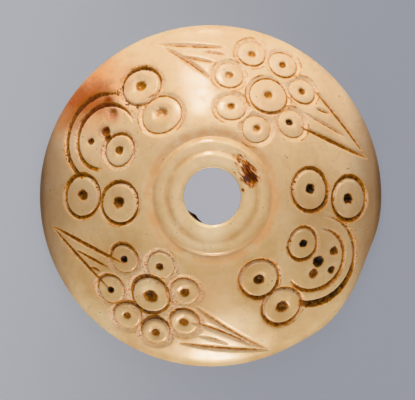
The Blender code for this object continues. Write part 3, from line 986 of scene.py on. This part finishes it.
def collar_bands(tree, body, place, above, blotches):
    """Bands of colour that follow the collar's steps, broken here and there."""
    for inner, outer, weight, code in COLLAR_BANDS:
        within = spot_at(tree, place, *BORE_MIDDLE, *inner)
        beyond = spot_at(tree, place, *BORE_MIDDLE, *outer)
        band = node(tree, "Math", {0: beyond, 1: within}, operation="SUBTRACT")
        band = node(tree, "Math", {0: band, 1: above}, operation="MULTIPLY")
        body = paint_where(tree, body, code, blotches, 0.28, 0.60, weight, band)
    return body


def torn_walls(tree, body, fresh, grit):
    """The pale gritty walls of the cuts, which were never polished."""
    torn = node(tree, "ValToRGB", {"Fac": grit},
                ((0.31, "#64321a"), (0.38, "#cc8860"), (0.44, "#f8c49c"), (0.56, "#ffe0bf")))
    return paint(tree, body, torn, fresh, 0.90)


def colour_and_painted_light_patches(tree, body, place, above):
    # Real colour, with the pale and brown patches that are painted light and painted shade
    for x, y, inner, outer, ragged, weight, code in PATCHES:
        spot = spot_at(tree, place, x, y, inner, outer, ragged)
        patch = node(tree, "Math", {0: spot, 1: above}, operation="MULTIPLY")
        body = paint(tree, body, code, patch, weight)
    return body


def iron_stain(tree, body, place, above):
    """Rust that soaked in beside the bore, in streaks that run with the ivory's grain."""
    turned = node(tree, "Mapping",
                  {"Vector": place, "Rotation": (0.0, 0.0, math.radians(STREAK_TURN)),
                   "Scale": (STREAK_STRETCH, 1.0, 1.0)}, vector_type="TEXTURE")
    drawn = node(tree, "TexNoise", {"Vector": turned, "Scale": 1.0 / STREAK_SIZE,
                                    "Detail": 4.0, "Roughness": 0.65})
    reach = 0.0
    for x, y, far, weight in STAIN:
        spot = spot_at(tree, place, x, y, STAIN_CORE, far)
        reach = node(tree, "Math", {0: spot, 1: weight, 2: reach}, operation="MULTIPLY_ADD")
    streak = node(tree, "Math", {0: drawn, 1: 2.3, 2: -1.15}, operation="MULTIPLY_ADD")
    level = node(tree, "Math", {0: reach, 1: streak}, operation="ADD")
    stain = node(tree, "ValToRGB", {"Fac": level},
                 ((0.24, "#e49a3c"), (0.42, "#c06c1c"), (0.58, "#7c340c"), (0.80, "#54301f")))
    inside = node(tree, "MapRange", {"Value": reach, "From Min": 0.02, "From Max": 0.25},
                  interpolation_type="SMOOTHSTEP")
    inside = node(tree, "Math", {0: inside, 1: above}, operation="MULTIPLY")
    return paint_where(tree, body, stain, level, 0.16, 0.36, 1.0, inside)


def stored_earth_and_shade(tree, lumps, grit):
    """How dark the cuts are with earth and painted shade: what carve stored, made lumpy and
    specked.
    """
    stored = node(tree, "Attribute", attribute_name="earth_and_shade").outputs["Fac"]
    uneven = node(tree, "MapRange", {"Value": lumps, "From Min": 0.3, "From Max": 0.7,
                                     "To Min": 0.55, "To Max": 1.50})
    specks = node(tree, "MapRange", {"Value": grit, "From Min": 0.57, "From Max": 0.66,
                                     "To Max": 0.60}, interpolation_type="SMOOTHSTEP")
    specks = node(tree, "Math", {0: specks, 1: stored}, operation="MULTIPLY")
    return node(tree, "Math", {0: stored, 1: uneven, 2: specks}, operation="MULTIPLY_ADD")


def earth_and_shade_in_cuts(tree, body, place, darkening, cover):
    """Earth and painted shade in the cuts, from amber where it is thin to black where it is thick.
    """
    dirt_and_shade = node(tree, "ValToRGB", {"Fac": darkening},
                ((0.12, "#e8a450"), (0.26, "#c8801c"), (0.42, "#945608"), (0.62, "#563000"),
                 (0.85, "#180c00")))
    dirt_and_shade = paint(tree, dirt_and_shade, "#7c2c0c", spot_at(tree, place, *RUSTED_DIRT), 0.65)
    return paint(tree, body, dirt_and_shade, cover)


def hand_gloss(tree, place, mottle, dull):
    """The roughness that polish and handling left: least on the collar, most in the cuts."""
    gloss = node(tree, "MapRange", {"Value": mottle, "From Min": 0.3, "From Max": 0.7,
                                    "To Min": GLOSS[0], "To Max": GLOSS[1]})
    handled = spot_at(tree, place, *BORE_MIDDLE, *HANDLED_REACH)
    gloss = node(tree, "Math", {0: handled, 1: HANDLED, 2: gloss}, operation="MULTIPLY_ADD")
    return node(tree, "Math", {0: dull, 1: DULLED, 2: gloss}, operation="MULTIPLY_ADD")


def fine_relief(tree, mottle, grit, fresh):
    """Relief too fine for the mesh: the skin's faint swells and the grit of torn walls."""
    skin = node(tree, "Bump", {"Strength": 0.4, "Distance": SKIN_RELIEF, "Height": mottle})
    return node(tree, "Bump", {"Strength": fresh, "Distance": TORN_RELIEF, "Height": grit,
                               "Normal": skin})


def old_ivory():
    """Elephant ivory, turned, carved and polished, then long buried and handled."""
    # To the eye it is warm and waxy, with a soft gloss broken by dull torn cuts
    made, tree, shader = new_material("polished_old_ivory")
    place = node(tree, "TexCoord").outputs["Object"]
    apart = node(tree, "SeparateXYZ", {"Vector": place}).outputs
    above = node(tree, "MapRange", {"Value": apart["Z"], "From Min": 0.5 * MM,
                                    "From Max": 1.5 * MM}, interpolation_type="SMOOTHSTEP")
    grain = {name: node(tree, "TexNoise", {"Vector": place, "Scale": 1.0 / size,
                                           "Detail": detail, "Roughness": 0.6})
             for name, (size, detail) in IVORY_NOISES.items()}
    fresh = node(tree, "Attribute", attribute_name="fresh_cut").outputs["Fac"]
    darkening = stored_earth_and_shade(tree, grain["lumps"], grain["grit"])
    cover = node(tree, "MapRange", {"Value": darkening, "From Min": 0.06, "From Max": 0.26},
                 interpolation_type="SMOOTHSTEP")
    dull = node(tree, "Math", {0: fresh, 1: cover}, operation="MAXIMUM")

    body = clouded_ivory(tree, place, apart, grain)
    body = collar_bands(tree, body, place, above, grain["blotches"])
    body = torn_walls(tree, body, fresh, grain["grit"])
    body = colour_and_painted_light_patches(tree, body, place, above)
    body = iron_stain(tree, body, place, above)
    body = earth_and_shade_in_cuts(tree, body, place, darkening, cover)
    finish = {"Base Color": body,
              "Roughness": hand_gloss(tree, place, grain["mottle"], dull),
              "Normal": fine_relief(tree, grain["mottle"], grain["grit"], fresh),
              "IOR": 1.54,
              "Subsurface Weight": 0.25,
              "Subsurface Radius": (1.0, 0.5, 0.25),
              "Subsurface Scale": 0.28 * MM}
    for name, value in finish.items():
        feed(tree, shader.inputs[name], value)
    return made


# The way in which the paper's painted light darkens, a little below +X
PAPER_GLOW_FALL = (0.966, -0.259, 0.0)


def studio_paper():
    """Pale grey seamless paper, lit by itself so that it takes almost no shadow."""
    # To the eye it is matt, with painted light: a little darker below +X and lighter round the
    # whorl
    made, tree, shader = new_material("pale_studio_paper")
    place = node(tree, "TexCoord").outputs["Object"]
    along = node(tree, "VectorMath", {0: place, 1: PAPER_GLOW_FALL}, operation="DOT_PRODUCT")
    # Painted light: the glow darkens away from the light and pools round the whorl
    painted_glow = paint_where(tree, "#a9aaae", "#92949c", along, -30.0 * MM, 20.0 * MM, 1.0)
    painted_glow = paint(tree, painted_glow, "#b1b2b9", spot_at(tree, place, 0.0, 0.0, 2.0, 18.0))
    finish = {"Base Color": "#47484c",
              "Roughness": 0.9,
              "Emission Color": painted_glow,
              "Emission Strength": 1.0}
    for name, value in finish.items():
        feed(tree, shader.inputs[name], value)
    return made


# The studio: the camera, where the whorl's middle is in the photo, in pixels, and the
# soft lights, each with its bearing and height in degrees, its sizes in mm and its power
CAMERA_DISTANCE = 1000.0 * MM
SENSOR_WIDTH = 36.0
PIXEL = 0.1173 * MM
PHOTO_WIDTH = 415
PHOTO_HEIGHT = 400
DISC_X = 210.6
DISC_Y = 195.8
LIGHT_DISTANCE = 600.0 * MM
SOFTBOXES = (
    ("window_light", 96.0, 28.0, 80.0, 130.0, 1.0),
    ("side_panel", 62.0, 32.0, 420.0, 300.0, 0.54),
    ("table_light", 92.0, 4.0, 120.0, 40.0, 0.25),
    ("back_panel", 90.0, 42.0, 500.0, 260.0, 0.86),
    ("low_back_panel", 90.0, 20.0, 600.0, 160.0, 0.21),
    ("front_light", 271.0, 9.0, 140.0, 50.0, 1.1),
    ("front_panel", 270.0, 15.0, 500.0, 150.0, 0.84),
)
GLOW_STRENGTH = 2.0
FLOOR_SIZE = 20.0
FLOOR_GAP = 0.02 * MM


def add_camera():
    """Straight above the whorl, framed as the photograph frames it."""
    view = bpy.data.cameras.new("view_from_above")
    view.lens = SENSOR_WIDTH * CAMERA_DISTANCE / (PHOTO_WIDTH * PIXEL)
    view.sensor_width = SENSOR_WIDTH
    camera = bpy.data.objects.new("view_from_above", view)
    camera.location = ((PHOTO_WIDTH / 2 - DISC_X) * PIXEL, (DISC_Y - PHOTO_HEIGHT / 2) * PIXEL,
                       CAMERA_DISTANCE)
    bpy.context.scene.collection.objects.link(camera)
    bpy.context.scene.camera = camera


def add_softbox(name, bearing, height, width, depth, power):
    """A soft light aimed at the whorl."""
    lamp = bpy.data.lights.new(name, "AREA")
    lamp.shape = "RECTANGLE"
    lamp.size = width * MM
    lamp.size_y = depth * MM
    lamp.energy = power
    box = bpy.data.objects.new(name, lamp)
    turn = math.radians(bearing)
    rise = math.radians(height)
    flat = math.cos(rise)
    away = Vector((flat * math.cos(turn), flat * math.sin(turn), math.sin(rise)))
    box.location = away * LIGHT_DISTANCE
    box.rotation_euler = away.to_track_quat("Z", "Y").to_euler()
    box.visible_camera = False
    bpy.context.scene.collection.objects.link(box)


def studio_room():
    """A dark room with a pale glow round its foot and a soft light high overhead."""
    world = bpy.data.worlds.new("studio_room")
    world.use_nodes = True
    tree = world.node_tree
    way = node(tree, "TexCoord").outputs["Generated"]
    up = node(tree, "SeparateXYZ", {"Vector": way}).outputs["Z"]
    glow = node(tree, "ValToRGB", {"Fac": up},
                ((0.0, "#e4e4e4"), (0.35, "#000000"), (0.70, "#000000"), (0.90, "#9e9e9e"),
                 (1.0, "#d2d2d2")))
    sky = tree.nodes["Background"].inputs
    feed(tree, sky["Color"], glow)
    feed(tree, sky["Strength"], GLOW_STRENGTH)
    return world


def add_studio():
    bpy.context.scene.world = studio_room()
    bpy.context.scene.view_settings.view_transform = "Khronos PBR Neutral"
    for softbox in SOFTBOXES:
        add_softbox(*softbox)
    bpy.ops.object.select_all(action="DESELECT")
    bpy.ops.mesh.primitive_plane_add(size=FLOOR_SIZE, location=(0.0, 0.0, -FLOOR_GAP))
    floor = bpy.context.object
    floor.name = "studio_floor"
    floor.data.materials.append(studio_paper())


def make_whorl():
    marks = all_marks()
    whorl = turn_blank()
    work_by_hand(whorl)
    for reach in REFINE_REACHES:
        refine(whorl, marks, reach)
    carve(whorl, marks)
    bpy.ops.object.shade_smooth()
    whorl.data.materials.append(old_ivory())
    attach(whorl, "root")
    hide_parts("whorl")


add_camera()
add_studio()
make_whorl()
